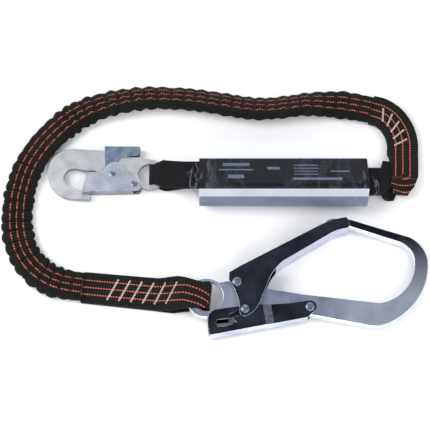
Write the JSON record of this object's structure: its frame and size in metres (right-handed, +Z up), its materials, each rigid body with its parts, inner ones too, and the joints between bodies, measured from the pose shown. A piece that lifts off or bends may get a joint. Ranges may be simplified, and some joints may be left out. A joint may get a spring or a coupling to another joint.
{
  "type": "shock absorbing lanyard",
  "caption": "Elasticated webbing lanyard with a tear-webbing energy absorber between a snap hook and a large scaffold hook, both self-locking.",
  "frame": {"origin": "on the surface the lanyard lies on, below the middle of the two hooks and the absorber", "axes": "+Z up from the surface, +X along the absorber towards the scaffold hook's bend, +Y towards the elastic leg's upper run"},
  "size_m": [0.4195, 0.2706, 0.0429],
  "materials": {
    "zinc_plated_steel": "satin zinc plate",
    "dark_plated_steel": "polished dark zinc plate",
    "blue_zinc_sheet": "bluish zinc passivated sheet",
    "rivet_steel": "plain steel, domed",
    "spring_steel": "drawn spring wire",
    "black_webbing": "woven polyamide webbing",
    "striped_webbing": "black tubular webbing with three orange stripes",
    "elastic_band": "bare rubber-cored elastic",
    "stitch_thread": "pale bonded thread",
    "tear_webbing": "undyed webbing",
    "label_cover": "black printed film",
    "edge_binding": "white woven band",
    "grey_cover": "grey-blue coated cloth",
    "clear_film": "clear heat-shrunk film"
  },
  "bodies": {
    "root": {"absorber_label_cover": "label_cover", "absorber_edge_binding": "edge_binding", "absorber_lower_cover": "grey_cover", "absorber_tear_webbing": "tear_webbing", "absorber_clear_sleeve": "clear_film", "harness_end_collar": "clear_film", "lanyard_end_collar": "clear_film", "harness_loop": "black_webbing", "lanyard_loop": "black_webbing", "elastic_leg_webbing": "striped_webbing", "elastic_core": "elastic_band", "hook_end_strap": "striped_webbing", "hook_end_stitching": "stitch_thread", "absorber_end_strap": "striped_webbing", "absorber_end_stitching": "stitch_thread"},
    "snap_hook": {"snap_hook_frame": "zinc_plated_steel", "snap_gate_rivet": "rivet_steel", "snap_gate_spring": "spring_steel"},
    "snap_gate": {"snap_gate": "zinc_plated_steel", "snap_lever_rivet": "rivet_steel", "snap_lever_spring": "spring_steel"},
    "snap_lever": {"snap_lock_lever": "blue_zinc_sheet"},
    "scaffold_hook": {"scaffold_hook_frame": "zinc_plated_steel", "scaffold_gate_rivet": "rivet_steel", "scaffold_lever_rivet": "rivet_steel", "scaffold_gate_spring": "spring_steel", "scaffold_lever_spring": "spring_steel"},
    "scaffold_gate": {"scaffold_gate": "dark_plated_steel", "scaffold_tail_pin": "rivet_steel"},
    "scaffold_lever": {"scaffold_lock_lever": "dark_plated_steel"}
  },
  "joints": [
    {"name": "snap_hook_swivel", "type": "hinge", "parent": "root", "child": "snap_hook", "pos_m": [-0.0862, 0.0702, 0.0063], "axis": [0, 0, 1], "range_deg": [-2, 20]},
    {"name": "snap_gate_hinge", "type": "hinge", "parent": "snap_hook", "child": "snap_gate", "pos_m": [-0.10134, 0.05872, 0.0063], "axis": [0, 0, -1], "range_deg": [0, 20], "stiffness_Nm_per_rad": 0.08, "springref_deg": -20.05},
    {"name": "snap_lever_hinge", "type": "hinge", "parent": "snap_gate", "child": "snap_lever", "pos_m": [-0.12321, 0.06953, 0.0063], "axis": [0, 0, -1], "range_deg": [0, 8]},
    {"name": "scaffold_hook_swivel", "type": "hinge", "parent": "root", "child": "scaffold_hook", "pos_m": [-0.0276, -0.0605, 0.012], "axis": [0, 0, 1], "range_deg": [-15, 4]},
    {"name": "scaffold_gate_hinge", "type": "hinge", "parent": "scaffold_hook", "child": "scaffold_gate", "pos_m": [0.00078, -0.04751, 0.012], "axis": [0, 0, -1], "range_deg": [0, 28], "stiffness_Nm_per_rad": 0.15, "springref_deg": -20.05},
    {"name": "scaffold_lever_hinge", "type": "hinge", "parent": "scaffold_hook", "child": "scaffold_lever", "pos_m": [0.0711, -0.07177, 0.012], "axis": [0, 0, -1], "range_deg": [0, 4.5]}
  ],
  "couplings": [
    {"joint": "snap_lever_hinge", "follows": "snap_gate_hinge", "ratio": 0.4},
    {"joint": "scaffold_lever_hinge", "follows": "scaffold_gate_hinge", "ratio": 0.16071}
  ]
}
